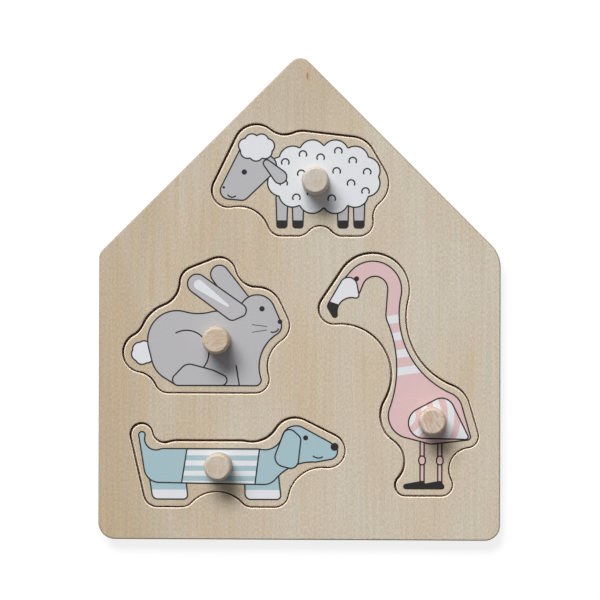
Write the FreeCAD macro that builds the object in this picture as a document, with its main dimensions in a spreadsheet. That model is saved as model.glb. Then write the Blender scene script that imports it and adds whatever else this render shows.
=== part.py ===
import FreeCAD, Part

import math
import os

import Sketcher

# A house-shaped wooden peg puzzle, lying flat on its back.
#
# A plywood front board with four animal cut-outs is glued on a thinner backing board. Each
# cut-out holds a loose animal piece of the same plywood, and each piece has a turned wooden
# peg whose tenon is glued through it.
#
# Millimetres. +Z is up, out of the front, and +Y runs from the straight base edge to the peak
# of the roof. The origin is under the middle of the outline, on the face the puzzle rests on.

# ---------------------------------------------------------------------------------- sizes

BOARD_SIZES = {
    # The two sheets.
    "backing_thickness": 3.0,
    "front_thickness": 5.0,
    # Rounding of the house's corners, seen from above.
    "base_left_radius": 10.5,
    "base_right_radius": 9.5,
    "eaves_left_radius": 7.0,
    "eaves_right_radius": 20.0,
    "peak_radius": 7.5,
    # Softened edges: the front's outer rim, the backing's lower rim, and every sawn outline.
    "front_edge_radius": 1.0,
    "backing_edge_radius": 0.8,
    "cut_edge_radius": 1.0,
    # Bare wood round each animal's figure, and the width of the saw cut round each piece.
    "figure_margin": 4.2,
    "saw_cut": 0.85,
    # Each loose piece lies this far to the right and down from the middle of its cut-out.
    "piece_drift": 0.25,
    # Bare board between the pieces and the edges. These set the size of the house.
    "rabbit_left_rim": 15.7,
    "dachshund_left_rim": 20.5,
    "dachshund_base_rim": 20.55,
    "flamingo_right_rim": 13.9,
    "flamingo_base_rim": 27.9,
    "rabbit_flamingo_gap": 19.0,
    "dachshund_rabbit_gap": 16.0,
    "flamingo_sheep_gap": 11.3,
    "sheep_offset": 9.9,
    "sheep_above_eaves": 44.8,
}

PEG_SIZES = {
    "peg_diameter": 17.0,
    "peg_height": 16.5,
    # The top is turned round, and then sanded flat by the crown's height, which leaves a crisp
    # edge round a flat disc.
    "peg_rim_radius": 2.8,
    "peg_crown": 0.27,
    "peg_foot_radius": 0.4,
    "tenon_diameter": 8.0,
    "tenon_bevel": 0.6,
    # The tenon stops short of the piece's underside, and glue fills the gap round it.
    "tenon_setback": 0.3,
    "glue_gap": 0.05,
}

# Each animal's outline runs anticlockwise round a few round corners. A corner is its name, its
# centre from the peg's axis, its radius, and the radius of the hollow between it and the next
# corner, or None where a straight edge joins them. The radii are the printed figure's. The
# piece is larger by figure_margin all round.
OUTLINES = {
    "sheep": (
        ("muzzle", -54.0, -5.5, 6.0, 20.0),
        ("fore_hoof", -21.0, -25.0, 4.3, None),
        ("fore_heel", -11.0, -25.0, 4.3, 10.0),
        ("hind_toe", 17.0, -25.0, 4.3, None),
        ("hind_hoof", 27.0, -25.0, 4.3, 12.0),
        ("rump", 29.5, -1.0, 11.3, None),
        ("hip", 22.0, 12.5, 11.0, None),
        ("shoulder", -8.0, 16.5, 10.5, 14.0),
        ("crown", -37.0, 21.5, 9.5, None),
    ),
    "rabbit": (
        ("tail", -46.0, -8.0, 7.8, 14.0),
        ("hind_foot", -30.0, -24.3, 4.2, None),
        ("fore_foot", 24.0, -24.5, 4.0, 20.0),
        ("nose", 34.0, 9.0, 6.6, None),
        ("cheek", 25.0, 17.0, 11.3, 14.0),
        ("ear_tip", 1.5, 41.0, 5.8, None),
        ("ear_edge", -12.5, 35.0, 6.2, 16.0),
        ("back", -25.0, 0.0, 18.5, 14.0),
    ),
    "flamingo": (
        ("breast", -13.0, 3.0, 14.3, 16.0),
        ("fore_foot", -16.0, -40.4, 2.0, None),
        ("hind_foot", 6.0, -40.0, 2.4, 14.0),
        ("tail", 21.8, -9.8, 2.6, None),
        ("back", 7.0, 6.0, 12.3, 46.0),
        ("crown", -37.0, 81.0, 18.3, None),
        ("beak", -60.8, 69.2, 5.0, 32.0),
    ),
    "dachshund": (
        ("hind_paw", -38.0, -17.3, 3.9, None),
        ("hind_heel", -23.0, -17.3, 3.9, 22.0),
        ("fore_heel", 21.0, -17.3, 3.9, None),
        ("fore_paw", 35.0, -17.3, 3.9, 22.0),
        ("muzzle", 68.0, 9.5, 6.0, None),
        ("head", 47.5, 16.0, 9.3, 18.0),
        ("back", 14.0, 0.5, 10.4, None),
        ("loin", -26.0, 0.5, 10.4, 8.0),
        ("tail", -48.0, 19.0, 2.4, None),
    ),
}

ANIMALS = tuple(OUTLINES)

UP = FreeCAD.Vector(0, 0, 1)
SAME_PLACE = 1e-6


class Size:
    """A size with the expression over the sheet's cells that gives it."""

    def __init__(self, value, text):
        self.value = value
        self.text = text

    def __add__(self, other):
        return Size(self.value + other.value, f"({self.text} + {other.text})")

    def __sub__(self, other):
        return Size(self.value - other.value, f"({self.text} - {other.text})")

    def __mul__(self, factor):
        return Size(self.value * factor, f"({self.text} * {factor})")

    def __neg__(self):
        return self * -1


def write_sheet(doc):
    """Write every driving size into the sheet and give them back by name."""
    values = dict(BOARD_SIZES)
    values.update(PEG_SIZES)
    for animal, corners in OUTLINES.items():
        for corner, x, y, radius, hollow in corners:
            name = f"{animal}_{corner}"
            values[f"{name}_x"] = x
            values[f"{name}_y"] = y
            values[f"{name}_radius"] = radius
            if hollow is not None:
                values[f"{name}_hollow"] = hollow
    sheet = doc.addObject("Spreadsheet::Sheet", "sizes")
    for row, (name, value) in enumerate(values.items(), start=1):
        sheet.set(f"A{row}", name)
        sheet.set(f"B{row}", str(value))
        sheet.setAlias(f"B{row}", name)
    doc.recompute()
    return {name: Size(sheet.get(name), f"sizes.{name}") for name in values}


# ---------------------------------------------------------------------- where things lie

def corner_reach(sizes, animal, corner, axis, direction):
    """How far a piece reaches from its peg's axis, over one of its corners."""
    name = f"{animal}_{corner}"
    outward = sizes[f"{name}_{axis}"] * direction
    return outward + sizes[f"{name}_radius"] + sizes["figure_margin"]


def layout(sizes):
    """Work out the house's size and the peg places, from the rims and gaps between pieces.

    The places are measured from the middle of the base edge.
    """
    rabbit_left = corner_reach(sizes, "rabbit", "tail", "x", -1)
    rabbit_right = corner_reach(sizes, "rabbit", "nose", "x", 1)
    rabbit_down = corner_reach(sizes, "rabbit", "hind_foot", "y", -1)
    flamingo_left = corner_reach(sizes, "flamingo", "beak", "x", -1)
    flamingo_right = corner_reach(sizes, "flamingo", "tail", "x", 1)
    flamingo_up = corner_reach(sizes, "flamingo", "crown", "y", 1)
    flamingo_down = corner_reach(sizes, "flamingo", "fore_foot", "y", -1)
    dachshund_left = corner_reach(sizes, "dachshund", "tail", "x", -1)
    dachshund_up = corner_reach(sizes, "dachshund", "head", "y", 1)
    dachshund_down = corner_reach(sizes, "dachshund", "fore_paw", "y", -1)
    sheep_down = corner_reach(sizes, "sheep", "fore_hoof", "y", -1)

    left_side = sizes["rabbit_left_rim"] + rabbit_left + rabbit_right
    right_side = flamingo_left + flamingo_right + sizes["flamingo_right_rim"]
    half_width = (left_side + sizes["rabbit_flamingo_gap"] + right_side) * 0.5

    dachshund_y = sizes["dachshund_base_rim"] + dachshund_down
    rabbit_y = dachshund_y + dachshund_up + sizes["dachshund_rabbit_gap"] + rabbit_down
    flamingo_y = sizes["flamingo_base_rim"] + flamingo_down
    sheep_y = flamingo_y + flamingo_up + sizes["flamingo_sheep_gap"] + sheep_down
    eaves_height = sheep_y - sizes["sheep_above_eaves"]

    # The roof's two slopes meet at a right angle, and its peak is rounded off.
    peak_cut = sizes["peak_radius"] * (math.sqrt(2) - 1)
    height = eaves_height + half_width - peak_cut
    places = {
        "sheep": (sizes["sheep_offset"], sheep_y),
        "rabbit": (sizes["rabbit_left_rim"] + rabbit_left - half_width, rabbit_y),
        "flamingo": (half_width - sizes["flamingo_right_rim"] - flamingo_right, flamingo_y),
        "dachshund": (sizes["dachshund_left_rim"] + dachshund_left - half_width, dachshund_y),
    }
    return half_width, eaves_height, height, places


# ------------------------------------------------------------------------------ outlines

class Corner:
    """A round corner of an outline: centre, radius, and the hollow that follows it.

    An x of None puts the centre on the house's middle line.
    """

    def __init__(self, name, x, y, radius, hollow=None):
        self.name = name
        self.x = x
        self.y = y
        self.radius = radius
        self.hollow = hollow

    def centre(self):
        return (self.x.value if self.x else 0.0, self.y.value)


def house_corners(sizes, half_width, eaves_height):
    """The house's five corners. Its walls are upright and its roof slopes at 45 degrees."""
    base_left = sizes["base_left_radius"]
    base_right = sizes["base_right_radius"]
    eaves_left = sizes["eaves_left_radius"]
    eaves_right = sizes["eaves_right_radius"]
    peak = sizes["peak_radius"]
    # How far a round eaves corner's centre lies below the sharp corner, for each unit of radius.
    eaves_drop = math.sqrt(2) - 1
    eaves_left_y = eaves_height - eaves_left * eaves_drop
    eaves_right_y = eaves_height - eaves_right * eaves_drop
    peak_y = eaves_height + half_width - peak * math.sqrt(2)
    return (
        Corner("base_left", base_left - half_width, base_left, base_left),
        Corner("base_right", half_width - base_right, base_right, base_right),
        Corner("eaves_right", half_width - eaves_right, eaves_right_y, eaves_right),
        Corner("peak", None, peak_y, peak),
        Corner("eaves_left", eaves_left - half_width, eaves_left_y, eaves_left),
    )


def piece_corners(sizes, animal):
    """An animal piece's corners, measured from its peg's axis."""
    corners = []
    for corner, _, _, _, hollow in OUTLINES[animal]:
        name = f"{animal}_{corner}"
        radius = sizes[f"{name}_radius"] + sizes["figure_margin"]
        dip = sizes[f"{name}_hollow"] if hollow is not None else None
        corners.append(Corner(corner, sizes[f"{name}_x"], sizes[f"{name}_y"], radius, dip))
    return corners


def cutout_corners(sizes, animal, place):
    """The corners of the cut-out that a piece lies in, wider than the piece by the saw cut."""
    gap = sizes["saw_cut"]
    drift = sizes["piece_drift"]
    corners = []
    for corner in piece_corners(sizes, animal):
        x = place[0] + corner.x - drift
        y = place[1] + corner.y + drift
        dip = corner.hollow - gap if corner.hollow else None
        corners.append(Corner(corner.name, x, y, corner.radius + gap, dip))
    return corners


def hollow_centre(corner, following, hollow):
    """The centre of the arc that touches two corners from outside the outline."""
    x1, y1 = corner.centre()
    x2, y2 = following.centre()
    reach1 = corner.radius.value + hollow
    reach2 = following.radius.value + hollow
    span = math.dist((x1, y1), (x2, y2))
    along = (span ** 2 + reach1 ** 2 - reach2 ** 2) / (2 * span)
    aside = math.sqrt(reach1 ** 2 - along ** 2)
    run_x = (x2 - x1) / span
    run_y = (y2 - y1) / span
    return x1 + run_x * along + run_y * aside, y1 + run_y * along - run_x * aside


def outline_arcs(corners):
    """Every arc of an outline in order, as (x, y, radius). A hollow's radius is negative."""
    arcs = []
    for index, corner in enumerate(corners):
        arcs.append((*corner.centre(), corner.radius.value))
        if corner.hollow:
            following = corners[(index + 1) % len(corners)]
            dip = corner.hollow.value
            arcs.append((*hollow_centre(corner, following, dip), -dip))
    return arcs


def headings(arcs):
    """The heading of the outline as it leaves each arc, in radians from +X."""
    found = []
    for (x1, y1, radius1), (x2, y2, radius2) in zip(arcs, arcs[1:] + arcs[:1]):
        span = math.dist((x1, y1), (x2, y2))
        lean = max(-1.0, min(1.0, (radius2 - radius1) / span))
        found.append(math.atan2(y2 - y1, x2 - x1) - math.asin(lean))
    return found


def arc_geometry(arc, heading_in, heading_out):
    """A sketch arc. A round corner turns left along the outline, and a hollow turns right."""
    x, y, radius = arc
    if radius > 0:
        start = heading_in - math.pi / 2
        end = heading_out - math.pi / 2
    else:
        start = heading_out + math.pi / 2
        end = heading_in + math.pi / 2
    while end <= start:
        end += 2 * math.pi
    while end > start + 2 * math.pi:
        end -= 2 * math.pi
    circle = Part.Circle(FreeCAD.Vector(x, y, 0), UP, abs(radius))
    return Part.ArcOfCircle(circle, start, end)


def leaving_point(arc, heading):
    """The point where the outline leaves an arc with a heading."""
    x, y, radius = arc
    return FreeCAD.Vector(x + radius * math.sin(heading), y - radius * math.cos(heading), 0)


def dimension(sketch, name, kind, where, size):
    """Add a dimension to a sketch and tie it to its size."""
    index = sketch.addConstraint(Sketcher.Constraint(kind, *where, size.value))
    sketch.renameConstraint(index, name)
    sketch.setExpression(f"Constraints.{name}", size.text)


def draw_outline(sketch, corners):
    """Draw a closed outline of tangent arcs and straight edges, held by its corners' sizes."""
    arcs = outline_arcs(corners)
    leaving = headings(arcs)
    entering = leaving[-1:] + leaving[:-1]
    arc_ids = []
    for arc, heading_in, heading_out in zip(arcs, entering, leaving):
        arc_ids.append(sketch.addGeometry(arc_geometry(arc, heading_in, heading_out), False))

    # A sketch arc starts at its point 1, ends at its point 2 and has its centre at point 3.
    joints = []
    for index, arc in enumerate(arcs):
        following = (index + 1) % len(arcs)
        next_arc = arcs[following]
        exit_end = 2 if arc[2] > 0 else 1
        entry_end = 1 if next_arc[2] > 0 else 2
        if arc[2] > 0 and next_arc[2] > 0:
            start = leaving_point(arc, leaving[index])
            end = leaving_point(next_arc, leaving[index])
            edge_id = sketch.addGeometry(Part.LineSegment(start, end), False)
            joints.append((arc_ids[index], exit_end, edge_id, 1))
            joints.append((edge_id, 2, arc_ids[following], entry_end))
        else:
            joints.append((arc_ids[index], exit_end, arc_ids[following], entry_end))
    sketch.addConstraint([Sketcher.Constraint("Tangent", *joint) for joint in joints])

    position = 0
    for corner in corners:
        arc_id = arc_ids[position]
        if corner.x:
            dimension(sketch, f"{corner.name}_x", "DistanceX", (-1, 1, arc_id, 3), corner.x)
        else:
            sketch.addConstraint(Sketcher.Constraint("PointOnObject", arc_id, 3, -2))
        dimension(sketch, f"{corner.name}_y", "DistanceY", (-1, 1, arc_id, 3), corner.y)
        dimension(sketch, f"{corner.name}_radius", "Radius", (arc_id,), corner.radius)
        position += 1
        if corner.hollow:
            hollow_id = arc_ids[position]
            dimension(sketch, f"{corner.name}_hollow", "Radius", (hollow_id,), corner.hollow)
            position += 1


# ------------------------------------------------------------------------------ features

def new_sketch(body, name):
    """A sketch on the body's own XY plane."""
    plane = next(p for p in body.Origin.OriginFeatures if p.Role == "XY_Plane")
    sketch = body.newObject("Sketcher::SketchObject", name)
    sketch.AttachmentSupport = (plane, "")
    sketch.MapMode = "FlatFace"
    return sketch


def new_circle(body, name, radius):
    """A sketch of one circle round the body's own Z axis."""
    sketch = new_sketch(body, name)
    circle = Part.Circle(FreeCAD.Vector(0, 0, 0), UP, radius.value)
    circle_id = sketch.addGeometry(circle, False)
    sketch.addConstraint(Sketcher.Constraint("Coincident", circle_id, 3, -1, 1))
    dimension(sketch, "radius", "Radius", (circle_id,), radius)
    return sketch


def pad(body, name, sketch, length, down=False):
    feature = body.newObject("PartDesign::Pad", name)
    feature.Profile = sketch
    feature.setExpression("Length", length.text)
    feature.Reversed = down
    sketch.Document.recompute()
    return feature


def cut_through(body, name, sketch):
    """Cut a sketch up through the whole body, and make sure that it cut something."""
    before = body.Shape.Volume
    feature = body.newObject("PartDesign::Pocket", name)
    feature.Profile = sketch
    feature.Type = "ThroughAll"
    feature.Reversed = True
    sketch.Document.recompute()
    if body.Shape.Volume >= before:
        raise RuntimeError(f"{name} cuts nothing")
    return feature


def flat_face(shape, height):
    """The widest flat face that lies at a height."""
    level = [f for f in shape.Faces
             if abs(f.BoundBox.ZMin - height) < SAME_PLACE
             and abs(f.BoundBox.ZMax - height) < SAME_PLACE]
    return max(level, key=lambda face: face.Area)


def edge_names(shape, edges):
    """The names of some of a shape's edges, as a feature refers to them."""
    return [f"Edge{number}" for number, edge in enumerate(shape.Edges, start=1)
            if any(edge.isSame(wanted) for wanted in edges)]


def dress(body, kind, name, size_property, size, pick_edges):
    """Round or bevel the edges that pick_edges finds on the body's last feature."""
    base = body.Tip
    feature = body.newObject(kind, name)
    feature.Base = (base, edge_names(base.Shape, pick_edges(base.Shape)))
    feature.setExpression(size_property, size.text)
    body.Document.recompute()
    return feature


def round_edges(body, name, radius, pick_edges):
    return dress(body, "PartDesign::Fillet", name, "Radius", radius, pick_edges)


def bevel_edges(body, name, size, pick_edges):
    return dress(body, "PartDesign::Chamfer", name, "Size", size, pick_edges)


def rim_at(height):
    """Picks the outer edges of the flat face at a height."""
    return lambda shape: flat_face(shape, height).OuterWire.Edges


def holes_at(height):
    """Picks the edges of the holes in the flat face at a height."""
    def pick(shape):
        face = flat_face(shape, height)
        return [e for wire in face.Wires if not wire.isSame(face.OuterWire) for e in wire.Edges]
    return pick


def new_body(doc, label, x, y, z):
    """A labelled body whose placement is tied to the sheet."""
    body = doc.addObject("PartDesign::Body", label)
    body.Label = label
    for axis, size in (("x", x), ("y", y), ("z", z)):
        if size:
            body.setExpression(f"Placement.Base.{axis}", size.text)
    return body


# ----------------------------------------------------------------------------- sub-parts

def make_backing_board(doc, sizes, house, base_y):
    """The plain sheet that closes the cut-outs from behind."""
    body = new_body(doc, "backing_board", None, base_y, None)
    sketch = new_sketch(body, "backing_outline")
    draw_outline(sketch, house)
    pad(body, "backing_sheet", sketch, sizes["backing_thickness"])
    round_edges(body, "backing_rim", sizes["backing_edge_radius"], rim_at(0.0))
    return body


def make_front_board(doc, sizes, house, places, base_y):
    """The sheet that shows, with a cut-out for each animal."""
    body = new_body(doc, "front_board", None, base_y, sizes["backing_thickness"])
    sketch = new_sketch(body, "front_outline")
    draw_outline(sketch, house)
    pad(body, "front_sheet", sketch, sizes["front_thickness"])
    for animal in ANIMALS:
        cutout = new_sketch(body, f"{animal}_cutout_outline")
        draw_outline(cutout, cutout_corners(sizes, animal, places[animal]))
        cut_through(body, f"{animal}_cutout", cutout)
    top = sizes["front_thickness"].value
    round_edges(body, "cutout_rims", sizes["cut_edge_radius"], holes_at(top))
    round_edges(body, "front_rim", sizes["front_edge_radius"], rim_at(top))
    return body


def make_piece(doc, sizes, animal, place, base_y):
    """One loose animal piece. It comes from the front's sheet, so it is just as thick."""
    body = new_body(doc, f"{animal}_piece", place[0], place[1] + base_y,
                    sizes["backing_thickness"])
    sketch = new_sketch(body, f"{animal}_outline")
    draw_outline(sketch, piece_corners(sizes, animal))
    pad(body, f"{animal}_sheet", sketch, sizes["front_thickness"])
    round_edges(body, f"{animal}_top_rim", sizes["cut_edge_radius"],
                rim_at(sizes["front_thickness"].value))
    round_edges(body, f"{animal}_bottom_rim", sizes["cut_edge_radius"], rim_at(0.0))
    hole_radius = sizes["tenon_diameter"] * 0.5 + sizes["glue_gap"]
    hole = new_circle(body, f"{animal}_peg_hole_circle", hole_radius)
    cut_through(body, f"{animal}_peg_hole", hole)
    return body


def make_peg(doc, sizes, animal, place, base_y):
    """One turned peg. Its shoulder sits on the piece and its tenon goes down through it."""
    shoulder_z = sizes["backing_thickness"] + sizes["front_thickness"]
    tenon_length = sizes["front_thickness"] - sizes["tenon_setback"]
    body = new_body(doc, f"{animal}_peg", place[0], place[1] + base_y, shoulder_z)
    grip = new_circle(body, f"{animal}_peg_circle", sizes["peg_diameter"] * 0.5)
    turned_height = sizes["peg_height"] + sizes["peg_crown"]
    pad(body, f"{animal}_peg_grip", grip, turned_height)
    round_edges(body, f"{animal}_peg_rim", sizes["peg_rim_radius"], rim_at(turned_height.value))
    sanding = new_circle(body, f"{animal}_peg_sanding_circle", sizes["peg_diameter"])
    sanding.setExpression("AttachmentOffset.Base.z", sizes["peg_height"].text)
    cut_through(body, f"{animal}_peg_flat_top", sanding)
    round_edges(body, f"{animal}_peg_foot", sizes["peg_foot_radius"], rim_at(0.0))
    tenon = new_circle(body, f"{animal}_tenon_circle", sizes["tenon_diameter"] * 0.5)
    pad(body, f"{animal}_tenon", tenon, tenon_length, down=True)
    bevel_edges(body, f"{animal}_tenon_end", sizes["tenon_bevel"], rim_at(-tenon_length.value))
    return body


# --------------------------------------------------------------------------------- build

def check(doc, bodies):
    """Stop on any failed object and on any piece that isn't one sound solid."""
    for item in doc.Objects:
        if "Invalid" in item.State or "Error" in item.State:
            raise RuntimeError(f"{item.Name} failed: {item.State}")
        if item.TypeId == "Sketcher::SketchObject" and item.solve() != 0:
            raise RuntimeError(f"{item.Name} can't be solved")
    for body in bodies:
        shape = body.Shape
        if shape.isNull() or not shape.isValid() or len(shape.Solids) != 1:
            raise RuntimeError(f"{body.Label} isn't one valid solid")


def main():
    doc = FreeCAD.newDocument("peg_puzzle")
    sizes = write_sheet(doc)
    half_width, eaves_height, height, places = layout(sizes)
    base_y = height * -0.5
    house = house_corners(sizes, half_width, eaves_height)

    bodies = [make_backing_board(doc, sizes, house, base_y)]
    bodies.append(make_front_board(doc, sizes, house, places, base_y))
    for animal in ANIMALS:
        bodies.append(make_piece(doc, sizes, animal, places[animal], base_y))
        bodies.append(make_peg(doc, sizes, animal, places[animal], base_y))

    doc.recompute()
    check(doc, bodies)
    os.makedirs("parts", exist_ok=True)
    for body in bodies:
        body.Shape.exportStep(f"parts/{body.Label}.step")
        box = body.Shape.optimalBoundingBox()
        print(f"{body.Label}: {box.XLength:.2f} x {box.YLength:.2f} x {box.ZLength:.2f} mm,"
              f" z {box.ZMin:.2f} to {box.ZMax:.2f}, {body.Shape.Volume / 1000:.2f} cm3")


main()
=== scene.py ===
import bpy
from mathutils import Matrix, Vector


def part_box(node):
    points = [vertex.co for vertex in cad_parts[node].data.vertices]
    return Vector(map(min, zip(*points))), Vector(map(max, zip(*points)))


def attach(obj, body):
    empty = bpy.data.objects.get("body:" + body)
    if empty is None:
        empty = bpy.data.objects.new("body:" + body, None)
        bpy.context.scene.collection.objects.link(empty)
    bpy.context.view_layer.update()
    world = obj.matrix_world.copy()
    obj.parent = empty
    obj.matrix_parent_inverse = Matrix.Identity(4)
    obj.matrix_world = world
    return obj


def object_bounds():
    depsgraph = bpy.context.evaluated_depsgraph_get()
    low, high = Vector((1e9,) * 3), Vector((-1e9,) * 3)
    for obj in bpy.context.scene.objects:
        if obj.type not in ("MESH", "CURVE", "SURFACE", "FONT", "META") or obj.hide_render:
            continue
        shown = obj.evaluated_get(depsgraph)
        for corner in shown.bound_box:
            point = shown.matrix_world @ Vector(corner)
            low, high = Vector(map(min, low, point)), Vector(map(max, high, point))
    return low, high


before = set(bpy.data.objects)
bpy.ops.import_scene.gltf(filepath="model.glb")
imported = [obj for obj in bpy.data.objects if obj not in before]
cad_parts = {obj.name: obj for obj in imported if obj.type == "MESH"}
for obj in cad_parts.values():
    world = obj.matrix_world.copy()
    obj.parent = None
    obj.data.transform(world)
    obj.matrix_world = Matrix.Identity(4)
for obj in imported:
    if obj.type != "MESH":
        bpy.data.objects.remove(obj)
cad_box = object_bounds()
print("Nodes:", sorted(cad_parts))
print("CAD box:", [tuple(corner) for corner in cad_box])

# %% Tools that this lesson uses
import math

import bpy
import numpy as np
from mathutils import Vector
from mathutils.geometry import delaunay_2d_cdt

MM = 0.001
scene = bpy.context.scene
print("Blender", bpy.app.version_string)

# %% [markdown]
# ## The camera
# The picture looks straight down on the lying puzzle from about a metre and a half. A camera so
# far off with a long lens makes the pegs lean outwards only a little. It could be aimed by a
# constraint, but three small angles are easier to read and to copy.
# %% Place the camera over the board
CAMERA_PLACE = Vector((32.35, -11.84, 1500.0)) * MM
CAMERA_TILT = tuple(math.radians(angle) for angle in (0.430, 1.228, 0.178))
LENS = 143.9
SENSOR_WIDTH = 36.0
NEAREST_SEEN, FARTHEST_SEEN = 0.05, 20.0


def hang_camera():
    """Hang the camera over the board, looking down, with the roof's peak at the top."""
    lens = bpy.data.cameras.new("overhead_camera")
    lens.lens = LENS
    lens.sensor_width = SENSOR_WIDTH
    lens.clip_start = NEAREST_SEEN
    lens.clip_end = FARTHEST_SEEN
    camera = bpy.data.objects.new("overhead_camera", lens)
    camera.location = CAMERA_PLACE
    camera.rotation_euler = CAMERA_TILT
    scene.collection.objects.link(camera)
    scene.camera = camera
    return camera


camera = hang_camera()
print("Camera at", tuple(camera.location), "with a lens of", LENS, "mm")

# %% [markdown]
# ## Building shaders in a few words
# Every finish below is a small tree of shader nodes. Nodes could be placed by hand in the
# editor, but code is read from top to bottom and runs again the same. One helper adds a node
# and fills its sockets: another node's output is linked, and anything else is typed in.
# %% A helper that adds one node
COLOUR_A, COLOUR_B, COLOUR_OUT = 6, 7, 2


def add(tree, kind, sockets=(), **settings):
    """Add a node, set its own settings, and fill its sockets, given by name or number."""
    node = tree.nodes.new("ShaderNode" + kind)
    for name, value in settings.items():
        setattr(node, name, value)
    for name, value in dict(sockets).items():
        if isinstance(value, bpy.types.NodeSocket):
            tree.links.new(value, node.inputs[name])
        else:
            node.inputs[name].default_value = value
    return node


def screen_colour(red, green, blue):
    """Turn a colour as a screen shows it, 0 to 255, into the linear colour of a shader."""
    def linear(level):
        level = level / 255.0
        return level / 12.92 if level <= 0.04045 else ((level + 0.055) / 1.055) ** 2.4
    return (linear(red), linear(green), linear(blue), 1.0)


print("Mid grey is", round(screen_colour(128, 128, 128)[0], 3), "in linear light")

# %% Helpers for arithmetic and colour
def work_out(tree, operation, first, second=0.0, third=0.0):
    """One sum on numbers, such as ADD or MULTIPLY."""
    sockets = {0: first, 1: second, 2: third}
    return add(tree, "Math", sockets, operation=operation).outputs[0]


def ease(tree, value, low, high, to_low=0.0, to_high=1.0):
    """Turn a value between low and high into a smooth slope, held at both ends."""
    sockets = {"Value": value, 1: low, 2: high, 3: to_low, 4: to_high}
    return add(tree, "MapRange", sockets, interpolation_type="SMOOTHSTEP").outputs[0]


def blend(tree, amount, below, above, mode="MIX"):
    """Lay one colour over another."""
    sockets = {0: amount, COLOUR_A: below, COLOUR_B: above}
    return add(tree, "Mix", sockets, data_type="RGBA", blend_type=mode).outputs[COLOUR_OUT]


print("Each helper hands back an output, so that one call can feed the next")

# %% Helpers for places and noise
NOISE_LOW, NOISE_HIGH = 0.3, 0.7


def on_vector(tree, operation, place, other=(0.0, 0.0, 0.0)):
    """One sum on places, such as SUBTRACT or MULTIPLY."""
    return add(tree, "VectorMath", {0: place, 1: other}, operation=operation).outputs[0]


def length_of(tree, away):
    """The length of a vector."""
    return add(tree, "VectorMath", {0: away}, operation="LENGTH").outputs["Value"]


def stretched_noise(tree, place, across, along, deep=1.0, detail=2.0):
    """Noise with so many features to the metre across X, along Y and deep in Z."""
    wide = on_vector(tree, "MULTIPLY", place, (across, along, deep))
    sockets = {"Vector": wide, "Scale": 1.0, "Detail": detail}
    return add(tree, "TexNoise", sockets).outputs[0]


def tinted(tree, colour, noise, amount):
    """Make a colour up to amount lighter or darker where noise is high or low."""
    level = ease(tree, noise, NOISE_LOW, NOISE_HIGH, 1.0 - amount, 1.0 + amount)
    return blend(tree, 1.0, colour, level, mode="MULTIPLY")


print("Noise mostly lies between", NOISE_LOW, "and", NOISE_HIGH)

# %% [markdown]
# ## The face of the veneer
# The board's face is a sheet of pale basswood, cut with its grain running up the house. From
# near by it shows fine short fibres, and from further off broad soft tones: browner on the
# left, where thin tan streaks run up it, and paler on the right. A photo of wood could be laid
# on it, but noise that is stretched along Y gives the same and stays sharp at any distance. It
# reads the object's own coordinates, so each piece keeps its grain while it is lifted, and the
# grain runs on from the board over the pieces.
# %% Broad tones of the veneer
VENEER = screen_colour(203, 192, 174)
VENEER_LEFT = screen_colour(189, 173, 149)
VENEER_WARM = screen_colour(199, 174, 140)
VENEER_PALE = screen_colour(203, 196, 182)
LEFT_END, RIGHT_END = -125.0 * MM, 30.0 * MM
BANDS_ACROSS, BANDS_ALONG = 32.0, 8.0
PALE_ACROSS, PALE_ALONG = 24.0, 9.0
WARM_STARTS, WARM_FULL, WARM_MOST = 0.35, 0.75, 0.55
PALE_STARTS, PALE_FULL, PALE_MOST = 0.4, 0.7, 0.6
PALE_SHIFT = (0.31, 0.17, 0.0)


def broad_tones(tree, place, from_left):
    """The veneer's broad warm and pale tones."""
    colour = blend(tree, from_left, VENEER_LEFT, VENEER)
    warm = stretched_noise(tree, place, BANDS_ACROSS, BANDS_ALONG)
    amount = ease(tree, warm, WARM_STARTS, WARM_FULL, 0.0, WARM_MOST)
    colour = blend(tree, amount, colour, VENEER_WARM)
    shifted = on_vector(tree, "ADD", place, PALE_SHIFT)
    pale = stretched_noise(tree, shifted, PALE_ACROSS, PALE_ALONG)
    amount = ease(tree, pale, PALE_STARTS, PALE_FULL, 0.0, PALE_MOST)
    return blend(tree, amount, colour, VENEER_PALE)


print("Warm bands are about", round(1000 / BANDS_ACROSS), "mm wide")

# %% Thin tan streaks
TAN_ACROSS, TAN_ALONG = 400.0, 9.0
TAN_STARTS, TAN_FULL = 0.4, 0.75
TAN_LEFT, TAN_RIGHT = 0.7, 0.2


def with_streaks(tree, place, colour, from_left):
    """Lay thin long tan streaks over the veneer, stronger on the left."""
    streaks = stretched_noise(tree, place, TAN_ACROSS, TAN_ALONG)
    strength = ease(tree, from_left, 0.0, 1.0, TAN_LEFT, TAN_RIGHT)
    amount = work_out(tree, "MULTIPLY", ease(tree, streaks, TAN_STARTS, TAN_FULL), strength)
    return blend(tree, amount, colour, VENEER_WARM)


print("Streaks are about", round(1000 / TAN_ACROSS, 1), "mm wide")

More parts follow.
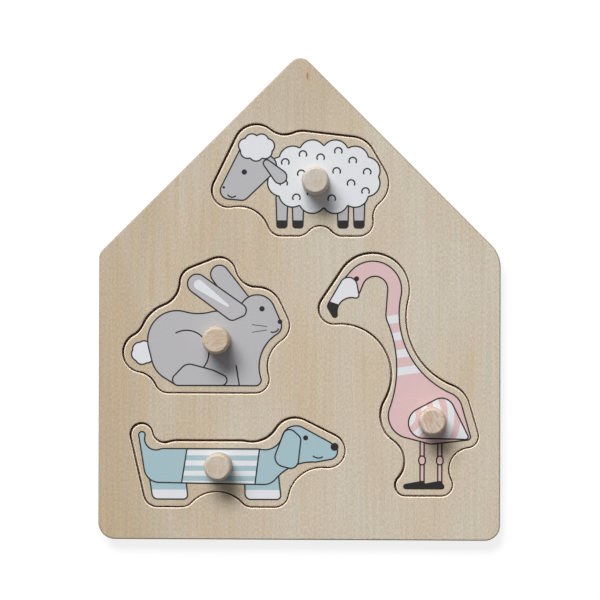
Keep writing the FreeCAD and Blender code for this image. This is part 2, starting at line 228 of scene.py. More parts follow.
# %% [markdown]
# ## Marks that only this board has
# No two sheets of veneer are alike. This one is browner in its peak and its lower left corner,
# has two tan streaks on its left side, and a reddish fleck in a warm streak under the peak.
# They could be painted on an image, but each is only a soft upright ellipse of colour, and its
# distance from a middle is quickly worked out.
# %% Soft marks at their places
MARKS = (
    # place in mm, half width, half height, colour, strength
    ((0.0, 150.0), (60.0, 75.0), screen_colour(189, 174, 150), 0.65),
    ((-125.0, -130.0), (55.0, 110.0), screen_colour(180, 161, 131), 0.5),
    ((-92.5, 7.0), (2.2, 17.0), screen_colour(196, 160, 120), 0.45),
    ((-76.5, 74.5), (1.6, 7.0), screen_colour(198, 158, 122), 0.6),
    ((5.2, 140.0), (2.6, 10.0), screen_colour(200, 166, 132), 0.6),
    ((4.6, 138.8), (0.9, 3.0), screen_colour(150, 106, 78), 0.75),
)
MARK_RIM, MARK_CORE = 1.0, 0.35


def with_marks(tree, place, colour):
    """Lay this board's own marks over the veneer's tones."""
    for (x, y), (half_width, half_height), mark, strength in MARKS:
        away = on_vector(tree, "SUBTRACT", place, (x * MM, y * MM, 0.0))
        scale = (1.0 / (half_width * MM), 1.0 / (half_height * MM), 0.0)
        distance = length_of(tree, on_vector(tree, "MULTIPLY", away, scale))
        amount = ease(tree, distance, MARK_RIM, MARK_CORE, 0.0, strength)
        colour = blend(tree, amount, colour, mark)
    return colour


print("Marks:", len(MARKS))

# %% Fibres of the veneer
FIBRES_ACROSS, FIBRES_ALONG = 1250.0, 560.0
STREAKS_ACROSS, STREAKS_ALONG = 480.0, 14.0
FIBRES_TINT, STREAKS_TINT = 0.1, 0.03


def veneer_colour(tree, place):
    """Colour of the veneer's face at a place."""
    across = add(tree, "SeparateXYZ", {0: place}).outputs["X"]
    from_left = ease(tree, across, LEFT_END, RIGHT_END)
    colour = with_marks(tree, place, broad_tones(tree, place, from_left))
    colour = with_streaks(tree, place, colour, from_left)
    streaks = stretched_noise(tree, place, STREAKS_ACROSS, STREAKS_ALONG, detail=1.0)
    colour = tinted(tree, colour, streaks, STREAKS_TINT)
    fibres = stretched_noise(tree, place, FIBRES_ACROSS, FIBRES_ALONG)
    return tinted(tree, colour, fibres, FIBRES_TINT)


print("Fibres are about", round(1000 / FIBRES_ACROSS, 2), "mm wide")

# %% [markdown]
# ## The edge of plywood
# Plywood is thin sheets of veneer, glued with the grain turned by a quarter each time, so its
# edge shows a stripe for each sheet: side grain light, end grain darker. The outer rim of the
# board is sanded. The cut-outs and the pieces are cut with heat, which browns their walls. The
# sheets could be modelled one by one, but the height above the table already says which sheet
# a place lies in, so the stripes are worked out from it.
# %% Colour of a plywood edge
PLY_THICKNESS = 1.0 * MM
SANDED_LIGHT = screen_colour(192, 172, 142)
SANDED_DARK = screen_colour(160, 134, 104)
BROWNED_LIGHT = screen_colour(150, 78, 30)
BROWNED_DARK = screen_colour(108, 50, 14)
GLUE_LINE = screen_colour(84, 52, 30)
GLUE_RIM, GLUE_CORE, GLUE_MOST = 0.1, 0.02, 0.6
STRIPE_BLUR = 0.02
END_PORES_FLAT, END_PORES_UP, END_PORES_TINT = 1400.0, 500.0, 0.08


def edge_colour(tree, place, light, dark):
    """Stripes of side grain and end grain down a plywood edge, with glue between them."""
    height = add(tree, "SeparateXYZ", {0: place}).outputs["Z"]
    sheet = work_out(tree, "DIVIDE", height, PLY_THICKNESS)
    pair = work_out(tree, "FRACT", work_out(tree, "MULTIPLY", sheet, 0.5))
    is_dark = ease(tree, pair, 0.5 - STRIPE_BLUR, 0.5 + STRIPE_BLUR)
    colour = blend(tree, is_dark, light, dark)
    to_glue = work_out(tree, "PINGPONG", work_out(tree, "FRACT", sheet), 0.5)
    is_glue = ease(tree, to_glue, GLUE_RIM, GLUE_CORE, 0.0, GLUE_MOST)
    colour = blend(tree, is_glue, colour, GLUE_LINE)
    pores = stretched_noise(tree, place, END_PORES_FLAT, END_PORES_FLAT, END_PORES_UP, detail=3.0)
    return tinted(tree, colour, pores, END_PORES_TINT)


board_low, board_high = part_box("front_board")
print("Sheets in the front board:", round((board_high[2] - board_low[2]) / PLY_THICKNESS))

# %% [markdown]
# ## From the flat face over the rim to the edge
# The rims are rounded by sanding, and the sanding leaves its own tone there: greyer where it
# only breaks the outer edge, and creamy where it cleans a browned cut. That cream is made
# lighter than sanded wood, so it is partly a painted highlight on the cut rims. The surface's
# own slope says where the flat face ends, where the rim is and where the edge begins, so no
# outline has to be drawn for it.
# %% Slope, relief and a new material
RELIEF_DEEP = 800.0
RELIEF_RIM_FROM, RELIEF_RIM_TO = 0.9, 0.99
RELIEF_RIM, RELIEF_FACE = 0.1, 0.5


def upward_slope(tree):
    """One where the surface lies flat, and zero where it stands upright."""
    normal = add(tree, "NewGeometry").outputs["Normal"]
    slope = add(tree, "SeparateXYZ", {0: normal}).outputs["Z"]
    return work_out(tree, "ABSOLUTE", slope)


def grain_bump(tree, place, height=0.04 * MM):
    """Fibres that can be felt on the flat face, mostly sanded away on the rims."""
    fibres = stretched_noise(tree, place, FIBRES_ACROSS, FIBRES_ALONG, RELIEF_DEEP, detail=4.0)
    rim_to_face = (RELIEF_RIM_FROM, RELIEF_RIM_TO, RELIEF_RIM, RELIEF_FACE)
    strength = ease(tree, upward_slope(tree), *rim_to_face)
    sockets = {"Strength": strength, "Distance": height, "Height": fibres}
    return add(tree, "Bump", sockets).outputs["Normal"]


def new_tree(name):
    """A new material with its node tree, its main shader, and the object's own coordinates."""
    material = bpy.data.materials.new(name)
    material.use_nodes = True
    tree = material.node_tree
    shader = tree.nodes["Principled BSDF"]
    place = add(tree, "TexCoord").outputs["Object"]
    return material, tree, shader, place


print("Fibres stand out least below a slope of", RELIEF_RIM_FROM)

# %% Plywood from its face, its rim and its edge
EDGE_ENDS, RIM_STARTS, RIM_ENDS, FACE_STARTS = 0.3, 0.65, 0.9, 0.995
FACE_ROUGHNESS, EDGE_ROUGHNESS, ROUGH_UP_TO = 0.62, 0.8, 0.2
FACE_SHINE, EDGE_SHINE, DULL_UP_TO = 0.5, 0.05, 0.4
# The cut rims' cream is partly a painted highlight: lighter than sanded wood, so that lit rims
# shine brighter.
RIM_CREAM_AND_HIGHLIGHT = screen_colour(236, 221, 199)
RIM_GREY = screen_colour(170, 156, 136)


def plywood(name, rim, light, dark):
    """Plywood with a veneer face, a sanded rim whose colour on cut plywood is partly a painted
    highlight, and an edge of light and dark stripes.
    """
    material, tree, shader, place = new_tree(name)
    face = veneer_colour(tree, place)
    edge = edge_colour(tree, place, light, dark)
    slope = upward_slope(tree)
    colour = blend(tree, ease(tree, slope, EDGE_ENDS, RIM_STARTS), edge, rim)
    colour = blend(tree, ease(tree, slope, RIM_ENDS, FACE_STARTS), colour, face)
    tree.links.new(colour, shader.inputs["Base Color"])
    roughness = ease(tree, slope, ROUGH_UP_TO, RIM_ENDS, EDGE_ROUGHNESS, FACE_ROUGHNESS)
    tree.links.new(roughness, shader.inputs["Roughness"])
    shine = ease(tree, slope, DULL_UP_TO, RIM_ENDS, EDGE_SHINE, FACE_SHINE)
    tree.links.new(shine, shader.inputs["Specular IOR Level"])
    tree.links.new(grain_bump(tree, place), shader.inputs["Normal"])
    return material


rim_plywood = plywood("plywood_sanded_rim", RIM_GREY, SANDED_LIGHT, SANDED_DARK)
# The browned cut's rim colour is partly a painted highlight.
sawn_plywood = plywood("plywood_browned_cut", RIM_CREAM_AND_HIGHLIGHT, BROWNED_LIGHT, BROWNED_DARK)
print("Plywood finishes:", rim_plywood.name, sawn_plywood.name)

# %% [markdown]
# ## Which finish goes where
# The front board is one solid with two kinds of edge, so its faces share two materials: those
# near the outside of the house get the sanded rim, and the rest the browned cut. The faces
# could be picked by hand, but how deep each lies inside the house's outline tells them apart.
# %% Two helpers for the CAD parts
ANIMALS = ("sheep", "rabbit", "flamingo", "dachshund")
PEAK_RADIUS = 7.5 * MM
roof_peak = cad_box[1].y + PEAK_RADIUS * (math.sqrt(2.0) - 1.0)


def put_on(node, *materials):
    """Give a CAD part its materials, one for each slot."""
    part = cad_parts[node]
    part.data.materials.clear()
    for material in materials:
        part.data.materials.append(material)
    return part


def depth_inside(x, y):
    """How far a place lies inside the house's outline, its corners taken as sharp."""
    low, high = cad_box
    wall = min(x - low.x, high.x - x)
    roof = (roof_peak - y - abs(x)) / math.sqrt(2.0)
    return min(wall, y - low.y, roof)


print("The roof's sharp peak would be at", round(roof_peak / MM, 1), "mm")

# %% Give the plywood parts their finish
RIM_REACH = 6.0 * MM
FLAT_SLOPE = 0.999

front = put_on("front_board", rim_plywood, sawn_plywood)
for face in front.data.polygons:
    upright = abs(face.normal.z) < FLAT_SLOPE
    inside = depth_inside(face.center.x, face.center.y) > RIM_REACH
    face.material_index = 1 if upright and inside else 0
put_on("backing_board", rim_plywood)
for animal in ANIMALS:
    put_on(f"{animal}_piece", sawn_plywood)
browned = sum(face.material_index for face in front.data.polygons)
print("Browned faces on the front board:", browned, "of", len(front.data.polygons))

# %% [markdown]
# ## Turned pegs
# Each peg is turned from a pale birch dowel. Its top is end grain, where the fibres show
# as fine pores along faint growth rings, and its side is long grain, a little browner. The
# rings of a dowel are nearly straight lines across the top, because it is cut from far out in
# the trunk. No two dowels match, so each peg gets its own tone, its own turn of the rings and
# its own warm patch. Four finishes from one function cost no more than one finish would.
# %% What differs from peg to peg
PEGS = {
    # wood, rings, the rings' turn in degrees and strength, and the warm patch's place in mm
    "sheep": ((203, 196, 185), (184, 168, 149), 8.0, 0.5, (2.0, -2.0)),
    "rabbit": ((203, 187, 168), (182, 155, 127), 75.0, 0.55, (2.0, 1.0)),
    "flamingo": ((211, 195, 180), (184, 150, 128), -30.0, 0.85, (-2.0, 2.0)),
    "dachshund": ((203, 192, 177), (180, 160, 137), 5.0, 0.5, (-3.0, -1.0)),
}
PEG_WARM = screen_colour(192, 164, 134)
PEG_SIDE = screen_colour(203, 187, 166)


def middle_of(node):
    """The middle of a part's box, in metres."""
    low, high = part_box(node)
    return (Vector(low) + Vector(high)) * 0.5


print("Pegs:", ", ".join(PEGS))

# %% Birch turned round an upright axis
RINGS_ACROSS, RINGS_ALONG, RINGS_DEEP = 1300.0, 220.0, 60.0
PORES_ACROSS, PORES_ALONG, PORES_DEEP = 2600.0, 1700.0, 150.0
PORES_TINT = 0.09
RING_STARTS, RING_FULL = 0.38, 0.68
PATCH_FROM, PATCH_TO, PATCH_MOST = 5.5 * MM, 1.0 * MM, 0.35
SIDE_FROM, SIDE_TO = 0.35, 0.1
UPRIGHT = (0.0, 0.0, 1.0)
FLAT = (1.0, 1.0, 0.0)


def peg_colour(tree, place, animal):
    """Rings and pores of one peg's end grain, a warm patch on it, and its browner side."""
    wood, ring, turn, strength, patch = PEGS[animal]
    axis = middle_of(f"{animal}_peg")
    sockets = {"Vector": place, "Center": axis, "Axis": UPRIGHT, "Angle": math.radians(turn)}
    local = add(tree, "VectorRotate", sockets, rotation_type="AXIS_ANGLE").outputs[0]
    rings = stretched_noise(tree, local, RINGS_ACROSS, RINGS_ALONG, RINGS_DEEP, detail=3.0)
    is_ring = ease(tree, rings, RING_STARTS, RING_FULL, 0.0, strength)
    colour = blend(tree, is_ring, screen_colour(*wood), screen_colour(*ring))
    away = on_vector(tree, "SUBTRACT", place, axis + Vector((*patch, 0.0)) * MM)
    distance = length_of(tree, on_vector(tree, "MULTIPLY", away, FLAT))
    is_patch = ease(tree, distance, PATCH_FROM, PATCH_TO, 0.0, PATCH_MOST)
    colour = blend(tree, is_patch, colour, PEG_WARM)
    return blend(tree, ease(tree, upward_slope(tree), SIDE_FROM, SIDE_TO), colour, PEG_SIDE)


print("Rings are about", round(1000 / RINGS_ACROSS, 1), "mm apart")

# %% Finish each peg
PEG_SMOOTH, PEG_ROUGH = 0.5, 0.6
PORE_RELIEF, PORE_DEPTH = 0.4, 0.05 * MM


def turned_peg(animal):
    """The finish of one peg."""
    material, tree, shader, place = new_tree(f"turned_birch_{animal}")
    pores = stretched_noise(tree, place, PORES_ACROSS, PORES_ALONG, PORES_DEEP)
    colour = tinted(tree, peg_colour(tree, place, animal), pores, PORES_TINT)
    tree.links.new(colour, shader.inputs["Base Color"])
    roughness = ease(tree, pores, NOISE_LOW, NOISE_HIGH, PEG_SMOOTH, PEG_ROUGH)
    tree.links.new(roughness, shader.inputs["Roughness"])
    sockets = {"Strength": PORE_RELIEF, "Distance": PORE_DEPTH, "Height": pores}
    tree.links.new(add(tree, "Bump", sockets).outputs["Normal"], shader.inputs["Normal"])
    return material


for animal in ANIMALS:
    put_on(f"{animal}_peg", turned_peg(animal))
print("Pegs finished:", len(PEGS))

# %% [markdown]
# ## Printed inks
# The drawings are screen printed: a thin, matt, nearly even coat in a few colours, with thin
# dark outlines. The wood's fibres still show faintly through it as a very soft unevenness, in
# tone and in height. A painted picture could carry all the inks at once, but one material for
# each ink keeps their borders sharp at any distance.
# %% One finish for each ink
INKS = {
    "white": screen_colour(221, 223, 227),
    "grey": screen_colour(181, 180, 183),
    "pink": screen_colour(217, 184, 185),
    "blue": screen_colour(162, 189, 197),
    "black": screen_colour(27, 24, 23),
}
INK_SMOOTH, INK_ROUGH = 0.55, 0.65
INK_TINT = 0.012
INK_GRAIN_ACROSS, INK_GRAIN_ALONG = 2600.0, 1800.0


def printed_ink(name, colour):
    """Matt ink with the wood's fibres faintly under it."""
    material, tree, shader, place = new_tree(f"ink_{name}")
    fibres = stretched_noise(tree, place, FIBRES_ACROSS, FIBRES_ALONG)
    grain = stretched_noise(tree, place, INK_GRAIN_ACROSS, INK_GRAIN_ALONG)
    colour = tinted(tree, tinted(tree, colour, fibres, INK_TINT), grain, INK_TINT)
    tree.links.new(colour, shader.inputs["Base Color"])
    roughness = ease(tree, grain, NOISE_LOW, NOISE_HIGH, INK_SMOOTH, INK_ROUGH)
    tree.links.new(roughness, shader.inputs["Roughness"])
    tree.links.new(grain_bump(tree, place, height=0.02 * MM), shader.inputs["Normal"])
    return material


ink_finishes = {name: printed_ink(name, colour) for name, colour in INKS.items()}
print("Inks:", ", ".join(ink_finishes))

# %% [markdown]
# ## Drawing with round corners
# The drawings are made of round shapes, so a shape is given by its round corners: a centre, a
# radius and, where the line dips inwards, the radius of the hollow before the next corner.
# Straight lines that touch both circles join them. Bezier curves would do as well, but circles
# and tangents keep every line smooth and can be made wider or narrower exactly.
# %% The centre of a hollow
def hollow_centre(corner, following, hollow):
    """Centre of the circle that touches two corners from outside and dips between them."""
    (x1, y1, r1), (x2, y2, r2) = corner[:3], following[:3]
    reach_1, reach_2 = r1 + hollow, r2 + hollow
    span = math.hypot(x2 - x1, y2 - y1)
    along = (span ** 2 + reach_1 ** 2 - reach_2 ** 2) / (2.0 * span)
    aside = math.sqrt(reach_1 ** 2 - along ** 2)
    over, up = (x2 - x1) / span, (y2 - y1) / span
    return x1 + over * along + up * aside, y1 + up * along - over * aside


print("Hollow between two circles:", hollow_centre((0, 0, 1), (4, 0, 1), 2))

# %% The line round a shape
STEP = 0.5
WIDEST_TURN = math.radians(12.0)


def outline(corners, grow=0.0):
    """Points round a shape, anticlockwise, in mm. It can be grown all round by a width."""
    arcs = []
    for number, corner in enumerate(corners):
        arcs.append((corner[0], corner[1], corner[2] + grow))
        if len(corner) > 3:
            following = corners[(number + 1) % len(corners)]
            arcs.append((*hollow_centre(corner, following, corner[3]), grow - corner[3]))
    headings = []
    for (x1, y1, r1), (x2, y2, r2) in zip(arcs, arcs[1:] + arcs[:1]):
        lean = math.asin(max(-1.0, min(1.0, (r2 - r1) / math.hypot(x2 - x1, y2 - y1))))
        headings.append(math.atan2(y2 - y1, x2 - x1) - lean)
    points = []
    for number, (x, y, radius) in enumerate(arcs):
        start = headings[number - 1]
        sweep = (headings[number] - start) % math.tau
        if radius < 0:
            sweep -= math.tau
        parts = max(2, int(abs(sweep * radius) / STEP) + 1, int(abs(sweep) / WIDEST_TURN))
        for part in range(parts + 1):
            heading = start + sweep * part / parts
            points.append((x + radius * math.sin(heading), y - radius * math.cos(heading)))
    return points


print("Points round a 5 mm disc:", len(outline(((0, 0, 5), (0.01, 0, 5)))))

# %% Arcs, discs and scallops
FEWEST_PARTS, DEGREES_PER_PART = 4, 8


def arc(x, y, radius, start, end):
    """Points along an arc, its angles in degrees."""
    parts = max(FEWEST_PARTS, int(abs(end - start) / DEGREES_PER_PART))
    angles = [math.radians(start + (end - start) * part / parts) for part in range(parts + 1)]
    return [(x + radius * math.cos(a), y + radius * math.sin(a)) for a in angles]


def disc(x, y, radius):
    """Points round a full circle."""
    return arc(x, y, radius, 0.0, 360.0)[:-1]


def scallops(x, y, half_width, half_height, count, lobe, dip, turn=0.0):
    """Corners of a cloud: lobes round an ellipse, with small dips between them."""
    corners = []
    for number in range(count):
        angle = turn + math.tau * number / count
        over, up = half_width * math.cos(angle), half_height * math.sin(angle)
        corners.append((x + over, y + up, lobe, dip))
    return corners


print("Points round a disc:", len(disc(0.0, 0.0, 1.0)))

# %% Pen lines
def turn_from(middle, end):
    """The direction from one point to another, in degrees."""
    return math.degrees(math.atan2(end[1] - middle[1], end[0] - middle[0]))


def pen_line(points, width):
    """The shape of a pen line with round ends, through some points."""
    half = width * 0.5
    left, right = [], []
    for number, (x, y) in enumerate(points):
        before = points[max(0, number - 1)]
        after = points[min(len(points) - 1, number + 1)]
        length = math.hypot(after[0] - before[0], after[1] - before[1])
        over, up = (after[0] - before[0]) / length, (after[1] - before[1]) / length
        left.append((x - up * half, y + over * half))
        right.append((x + up * half, y - over * half))
    end_turn = turn_from(points[-1], right[-1])
    start_turn = turn_from(points[0], left[0])
    end_cap = arc(*points[-1], half, end_turn, end_turn + 180.0)[1:-1]
    start_cap = arc(*points[0], half, start_turn, start_turn + 180.0)[1:-1]
    return right + end_cap + left[::-1] + start_cap


print("Points round a short pen line:", len(pen_line([(0, 0), (5, 0)], 0.6)))

# %% [markdown]
# ## A drawing as a stack of marks
# Printers lay one colour after another, and the last one on top is the one that shows. A
# drawing here is the same: a list of marks, each with its ink, the shapes that it fills, the
# shapes that it leaves out, and the shapes that it must stay inside.
# %% Marks
LINE_WIDTH = 0.9


class Drawing(list):
    """Marks from the first to the last ink, in mm from the peg's axis."""

    def mark(self, ink, shapes, without=(), within=()):
        """Lay one ink over some shapes."""
        self.append((ink, list(shapes), list(without), list(within)))

    def fill(self, corners, ink):
        """Fill a shape and draw the line round it."""
        self.mark(ink, [outline(corners)])
        self.line_round(corners)

    def line_round(self, corners, within=()):
        """Draw the line round a shape."""
        outer = outline(corners, LINE_WIDTH * 0.5)
        inner = outline(corners, LINE_WIDTH * -0.5)
        self.mark("black", [outer], without=[inner], within=within)

    def pen(self, points, width=LINE_WIDTH, within=()):
        """Draw an open line."""
        self.mark("black", [pen_line(points, width)], within=within)

    def dot(self, x, y, radius):
        """Draw a black dot."""
        self.mark("black", [disc(x, y, radius)])


print("Lines are", LINE_WIDTH, "mm wide")

# %% [markdown]
# ## From marks to a print
# The print has to lie on the wood as a very thin coat. It could be an image on the face, but a
# mesh keeps every line sharp and needs no file. All the marks' lines together cut the
# plane into small triangles, and each triangle takes the ink of the last mark that covers its
# middle. A triangle without ink is left out, and so is the round place under the peg. The rest
# is given a little thickness, so that the coat is a closed body with a real edge.
# %% Which points lie inside a shape
def covers(shape, points):
    """For each point, whether it lies inside the shape, by counting the lines it passes."""
    x, y = points[:, 0], points[:, 1]
    inside = np.zeros(len(points), dtype=bool)
    for (x1, y1), (x2, y2) in zip(shape, shape[1:] + shape[:1]):
        if y1 == y2:
            continue
        passes = (y1 > y) != (y2 > y)
        inside ^= passes & (x < (x2 - x1) * (y - y1) / (y2 - y1) + x1)
    return inside


def inks_at(drawing, points):
    """The number of the ink that shows at each point, or -1 where the wood is bare."""
    order = list(INKS)
    shown = np.full(len(points), -1)
    for ink, shapes, without, within in drawing:
        covered = np.any([covers(shape, points) for shape in shapes], axis=0)
        for shape in without:
            covered &= ~covers(shape, points)
        for shape in within:
            covered &= covers(shape, points)
        shown[covered] = order.index(ink)
    return shown


print("A dot covers its middle:", covers(disc(0, 0, 1), np.array([(0.1, 0.1), (2.0, 0.0)])))

# %% Cut the plane along every line
PEG_SEAT = 8.2
KEEP_ALL_TRIANGLES = 0
SAME_POINT = 1e-4


def cut_along_lines(drawing):
    """Triangles between all the lines of a drawing, with the ink of each."""
    loops = [disc(0.0, 0.0, PEG_SEAT)]
    for _, shapes, without, within in drawing:
        loops += shapes + without + within
    points, edges = [], []
    for loop in loops:
        first = len(points)
        points += [Vector(point) for point in loop]
        edges += [(first + k, first + (k + 1) % len(loop)) for k in range(len(loop))]
    cut = delaunay_2d_cdt(points, edges, [], KEEP_ALL_TRIANGLES, SAME_POINT)
    corners = np.array([tuple(point) for point in cut[0]])
    triangles = np.array([tuple(face) for face in cut[2]])
    middles = corners[triangles].mean(axis=1)
    inks = inks_at(drawing, middles)
    inks[np.hypot(middles[:, 0], middles[:, 1]) < PEG_SEAT] = -1
    return corners, triangles[inks >= 0], inks[inks >= 0]


print("Bare circle under each peg:", PEG_SEAT, "mm in radius")

# %% Give the cut sheet its thickness
INK_THICKNESS = 0.05


def print_body(name, drawing, axis, top):
    """The coat of ink as a closed mesh, lying on a piece's face."""
    corners, triangles, inks = cut_along_lines(drawing)
    used, numbers = np.unique(triangles, return_inverse=True)
    triangles = numbers.reshape(triangles.shape)
    corners = corners[used] * MM + (axis.x, axis.y)
    count = len(corners)
    lower = np.column_stack([corners, np.full(count, top)])
    upper = lower + (0.0, 0.0, INK_THICKNESS * MM)
    sides = {}
    for (a, b, c), ink in zip(triangles, inks):
        for start, end in ((a, b), (b, c), (c, a)):
            if (end, start) in sides:
                del sides[(end, start)]
            else:
                sides[(start, end)] = ink
    faces = [(c, b, a) for a, b, c in triangles]
    faces += [(a + count, b + count, c + count) for a, b, c in triangles]
    faces += [(a, b, b + count, a + count) for a, b in sides]
    mesh = bpy.data.meshes.new(name)
    mesh.from_pydata(np.vstack([lower, upper]).tolist(), [], [tuple(map(int, f)) for f in faces])
    for finish in ink_finishes.values():
        mesh.materials.append(finish)
    slots = np.concatenate([inks, inks, np.array(list(sides.values()))])
    mesh.polygons.foreach_set("material_index", slots.astype(np.int32))
    mesh.update()
    body = bpy.data.objects.new(name, mesh)
    scene.collection.objects.link(body)
    return body


print("The coat is", INK_THICKNESS, "mm thick")

# %% [markdown]
# ## The sheep
# The sheep stands on the upper piece and looks to the left: grey legs with black hooves, a
# white cloud of wool with small curls, a grey face and a topknot. The wool could be one long
# list of corners, but lobes round an ellipse say the same in one line.
# %% Draw the sheep
sheep = Drawing()
for x in (-21, -11, 17, 27):
    leg = [(x - 1.4, -27, 1.7), (x + 1.4, -27, 1.7), (x + 2.2, -10, 1.5), (x - 2.2, -10, 1.5)]
    sheep.mark("grey", [outline(leg)])
    hoof = [(x - 6, -40), (x + 6, -40), (x + 6, -24), (x - 6, -24)]
    sheep.mark("black", [outline(leg)], within=[hoof])
    sheep.line_round(leg)
sheep.fill(scallops(5.0, 3.2, 27.5, 15.0, 12, 8.4, 0.8, turn=0.26), "white")
CURLS = (
    (-19, 12), (-20, -1), (-9, 5), (-8, 17), (-3, -7), (3, 15), (14, 19), (13, 6.5),
    (10, -10.5), (23, 13), (22, -1), (32, 6), (31, -6), (-12, -10),
)
for x, y in CURLS:
    sheep.pen(arc(x, y, 2.3, -25, 205), width=0.95)
sheep.fill([(-54, -5.5, 5.4), (-46, -7, 4.6), (-31, 10, 6.5), (-41, 17, 7)], "grey")
sheep.fill([(-30.5, 11.5, 2.2), (-22.2, 3, 4.2)], "grey")
sheep.fill(scallops(-37, 21.5, 7.0, 4.3, 7, 4.4, 0.7, turn=0.2), "white")
sheep.dot(-44.5, 6, 1.7)
sheep.dot(-57.3, -3.6, 0.8)
sheep.pen(arc(-52, -6.5, 3.2, 215, 310))
print("Marks in the sheep:", len(sheep))

# %% [markdown]
# ## The rabbit
# The rabbit crouches on the left piece and looks to the right. It is all grey, with a white
# tail and a white inside to its ear, so its shape is told by thin lines alone. Shapes are laid
# from the back to the front: tail, far ear, body, near ear and foot. So no shape has to be cut
# to fit behind another.
# %% Draw the rabbit
rabbit = Drawing()
rabbit.fill(scallops(-46, -8, 3.0, 3.0, 6, 4.4, 0.7, turn=0.3), "white")
rabbit.fill([(19, 23, 3), (1.5, 41, 5.6), (12, 22, 3)], "grey")
rabbit.fill([
    (-25, 0, 18.2), (-24, -9, 17), (-24, -24.6, 3.8), (24, -24.8, 3.6, 24), (34, 9, 6.2),
    (25, 17, 11.2, 14), (0, 3, 15, 30),
], "grey")
rabbit.fill([(14, 18.5, 4.2), (-12.5, 35, 6.0), (9.5, 16.5, 4.2)], "grey")
rabbit.mark("white", [outline([(6.5, 21.5, 0.8), (-11.5, 34.4, 3.0)])])
rabbit.pen(arc(-19, -8, 14, -52, 118))
rabbit.fill([(-24, -24.8, 3.6), (3, -25, 3.3), (-4, -23.5, 5), (-17, -21.5, 6.4)], "grey")
rabbit.pen([(14, -28.2), (13, -22), (12, -16)])
rabbit.dot(28, 19.5, 1.7)
rabbit.dot(39.2, 11.5, 1.5)
rabbit.pen(arc(35, 8.5, 3.6, 250, 335))
rabbit.pen([(31, 8.5), (22, 9.6)], width=0.45)
rabbit.pen([(31, 6.3), (22, 4.9)], width=0.45)
print("Marks in the rabbit:", len(rabbit))

# %% [markdown]
# ## The flamingo
# The flamingo stands on the tall piece on the right and looks to the left: thin pink legs, a
# bent neck with slanted white bands, a white bill with a black tip, and a striped wing. The
# bands are long strips that are kept inside the body's outline, so they end on its curve
# without being cut to it.
# %% Draw the flamingo
flamingo = Drawing()
for x in (-6, 5):
    flamingo.fill([(x, -39.5, 1.25), (x, -10, 1.25)], "pink")
    flamingo.fill([(x, -24, 2), (x, -25.5, 2)], "pink")
    flamingo.fill([(x - 10, -41, 1.3), (x + 1.2, -41, 1.3), (x, -38.8, 1.0)], "black")
body = [
    (-13, 3, 14), (0, -4, 10.5), (22, -10, 2), (7, 6, 12, 54), (-37, 81, 18),
    (-50.5, 83, 6.4), (-35.6, 81.6, -8.0), (-16.7, 66, 12, 74),
]
flamingo.mark("pink", [outline(body)])
for y in (22, 33, 44, 55):
    band = [(-60, y), (20, y + 12), (20, y + 17), (-60, y + 5)]
    flamingo.mark("white", [outline(body)], within=[band])
flamingo.line_round(body)
bill = [(-52, 83.5, 5.4), (-62, 71, 3), (-60.5, 65.5, 1.5, 9), (-47.5, 78, 2)]
flamingo.mark("white", [outline(bill)])
flamingo.mark("black", [outline(bill)], within=[[(-70, 60), (-50, 60), (-52, 70), (-70, 76)]])
flamingo.line_round(bill)
wing = [(-5, -1.5, 9.5), (21, -10, 1.6), (6, 6, 8)]
flamingo.mark("white", [outline(wing)])
for radius in (8, 16, 24, 32):
    feathers = arc(-18, 3, radius, -60, 60) + arc(-18, 3, radius + 4, 60, -60)
    flamingo.mark("pink", [outline(wing)], within=[feathers])
flamingo.line_round(wing)
flamingo.dot(-47, 88, 1.6)
print("Marks in the flamingo:", len(flamingo))

# %% [markdown]
# ## The dachshund
# The dachshund stands on the long piece at the bottom and looks to the right. It is blue with
# white socks and wears a coat with stripes along it. The coat is the body's own shape, laid
# once more in white inside a slanted box, so it follows the back and the belly exactly.
# %% Draw the dachshund
dachshund = Drawing()
HIND_LEG = [(-38, -17.3, 3.6), (-22, -18.3, 2.6), (-26, -4, 5), (-38, -2, 6)]
FORE_LEG = [(20, -17.3, 3.6), (36, -18.3, 2.6), (31, -4, 6), (21, -4, 5)]
for leg in (HIND_LEG, FORE_LEG):
    dachshund.mark("blue", [outline(leg)])
    socks = [(-60, -30), (60, -30), (60, -15), (-60, -15)]
    dachshund.mark("white", [outline(leg)], within=[socks])
    dachshund.line_round(leg)
body = [
    (-37, -1, 9.6), (28, -2, 9.6, 30), (60, 7, 4.5), (69, 9, 4.8), (67, 12, 3.5),
    (48, 16, 9, 11), (24, 1, 9.5), (-34, 1, 9.5, 7), (-48, 19, 2),
]
coat = [(-24, -16), (22, -16), (26, 16), (-19, 16)]
dachshund.mark("blue", [outline(body)])
dachshund.mark("white", [outline(body)], within=[coat])
for y in (-9.5, -3.2, 3.2, 9.6):
    stripe = [(-40, y), (40, y), (40, y + 3.2), (-40, y + 3.2)]
    dachshund.mark("blue", [outline(body)], within=[coat, stripe])
dachshund.line_round(body)
dachshund.pen([(-24, -16), (-19, 16)], within=[outline(body)])
dachshund.pen([(22, -16), (26, 16)], within=[outline(body)])
dachshund.fill([(44, 18.4, 4.2), (41, 5.5, 6), (44.6, 3.5, 5), (47, 16, 4)], "blue")
dachshund.dot(54, 17.5, 1.6)
dachshund.dot(72, 12, 2.5)
dachshund.pen(arc(62, 10, 5, 230, 300))
print("Marks in the dachshund:", len(dachshund))

# %% [markdown]
# ## The prints in their places
# Each print is one closed mesh on its piece's face, centred on the peg. It rides with the
# piece, so both rise together, and it belongs to the piece's plywood, as ink does. Four
# separate meshes are chosen over one, because each piece moves on its own.
# %% Lay each print on its piece
DRAWINGS = {"sheep": sheep, "rabbit": rabbit, "flamingo": flamingo, "dachshund": dachshund}
for animal, drawing in DRAWINGS.items():
    face_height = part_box(f"{animal}_piece")[1][2]
    coat_of_ink = print_body(f"{animal}_print", drawing, middle_of(f"{animal}_peg"), face_height)
    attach(coat_of_ink, animal)
    print(coat_of_ink.name, "has", len(coat_of_ink.data.polygons), "faces")

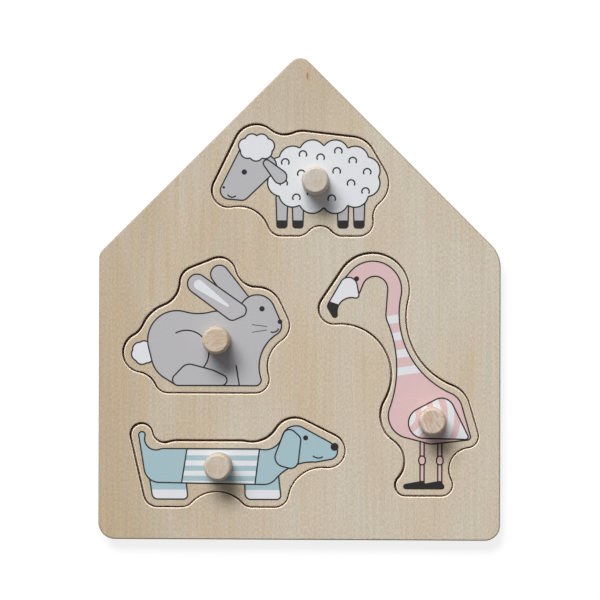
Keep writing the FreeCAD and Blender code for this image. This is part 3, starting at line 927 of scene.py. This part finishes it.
# %% [markdown]
# ## Table and background
# The puzzle lies on a pale sheet. Such a surface in plain light comes out grey, and more lamps
# would wash out the wood. So the sheet's own colour stays, and light that only the camera and
# reflections see lifts it to white. The puzzle's shadow stays on it, soft and faint. The sheet
# lies a hair under the puzzle, because two surfaces at one height would show through each other.
# %% Lay the white sheet
SHEET_SIDE = 6.0
SHEET_COLOUR = (0.2, 0.2, 0.2, 1.0)
SHEET_LIFT = 0.82
SHEET_ROUGHNESS, SHEET_SHINE = 0.9, 0.1
HAIR = 0.05 * MM
WHITE_LIGHT = (1.0, 1.0, 1.0, 1.0)


def white_sheet():
    """A wide white sheet under the puzzle."""
    half = SHEET_SIDE * 0.5
    low = cad_box[0].z - HAIR
    corners = [(-half, -half, low), (half, -half, low), (half, half, low), (-half, half, low)]
    mesh = bpy.data.meshes.new("white_sheet")
    mesh.from_pydata(corners, [], [(0, 1, 2, 3)])
    sheet = bpy.data.objects.new("white_sheet", mesh)
    scene.collection.objects.link(sheet)
    material, tree, shader, place = new_tree("white_paper")
    shader.inputs["Base Color"].default_value = SHEET_COLOUR
    shader.inputs["Roughness"].default_value = SHEET_ROUGHNESS
    shader.inputs["Specular IOR Level"].default_value = SHEET_SHINE
    rays = add(tree, "LightPath").outputs
    seen = work_out(tree, "MAXIMUM", rays["Is Camera Ray"], rays["Is Glossy Ray"])
    seen = work_out(tree, "MAXIMUM", seen, rays["Is Transmission Ray"])
    lift = work_out(tree, "MULTIPLY", seen, SHEET_LIFT)
    shader.inputs["Emission Color"].default_value = WHITE_LIGHT
    tree.links.new(lift, shader.inputs["Emission Strength"])
    mesh.materials.append(material)
    return sheet


sheet = white_sheet()
print("White sheet:", SHEET_SIDE, "m wide")

# %% [markdown]
# ## Light
# One long soft lamp stands beyond the roof, a little to the left and half way up the sky: the
# pegs' shadows fall towards the base, narrow to a dark tongue and fade at their far end. A sun
# lamp is round, so three of them side by side make the long one. An area lamp near by would be
# long by itself, but it would light one side of the board more than the other. A pale even sky
# fills the shadows. Together they give a flat surface as much light as it needs to show its own
# colour.
# %% Set the key lamps and the sky
KEY_TURNS = (7.0, 21.0, 35.0)
KEY_HEIGHT = math.radians(40.0)
KEY_SHARE = 0.8
KEY_SOFTNESS = math.radians(22.0)
LIGHT_LEVEL = 0.97


def key_lamp(number, turn):
    """One far lamp, turned to the left of the roof's peak by so many degrees."""
    light = bpy.data.lights.new(f"key_lamp_{number}", "SUN")
    light.angle = KEY_SOFTNESS
    light.energy = LIGHT_LEVEL * KEY_SHARE * math.pi / math.sin(KEY_HEIGHT) / len(KEY_TURNS)
    lamp = bpy.data.objects.new(f"key_lamp_{number}", light)
    flat = math.cos(KEY_HEIGHT)
    left, ahead = math.sin(math.radians(turn)), math.cos(math.radians(turn))
    to_lamp = Vector((-left * flat, ahead * flat, math.sin(KEY_HEIGHT)))
    lamp.rotation_euler = to_lamp.to_track_quat("Z", "Y").to_euler()
    scene.collection.objects.link(lamp)
    return lamp


def pale_sky():
    """An even pale light from all round."""
    world = bpy.data.worlds.new("pale_sky")
    world.use_nodes = True
    sky = world.node_tree.nodes["Background"]
    sky.inputs["Color"].default_value = WHITE_LIGHT
    sky.inputs["Strength"].default_value = LIGHT_LEVEL * (1.0 - KEY_SHARE)
    scene.world = world
    return world


lamps = [key_lamp(number, turn) for number, turn in enumerate(KEY_TURNS, start=1)]
world = pale_sky()
scene.view_settings.view_transform = "Standard"
print("Key lamps:", len(lamps), "of energy", round(lamps[0].data.energy, 2))
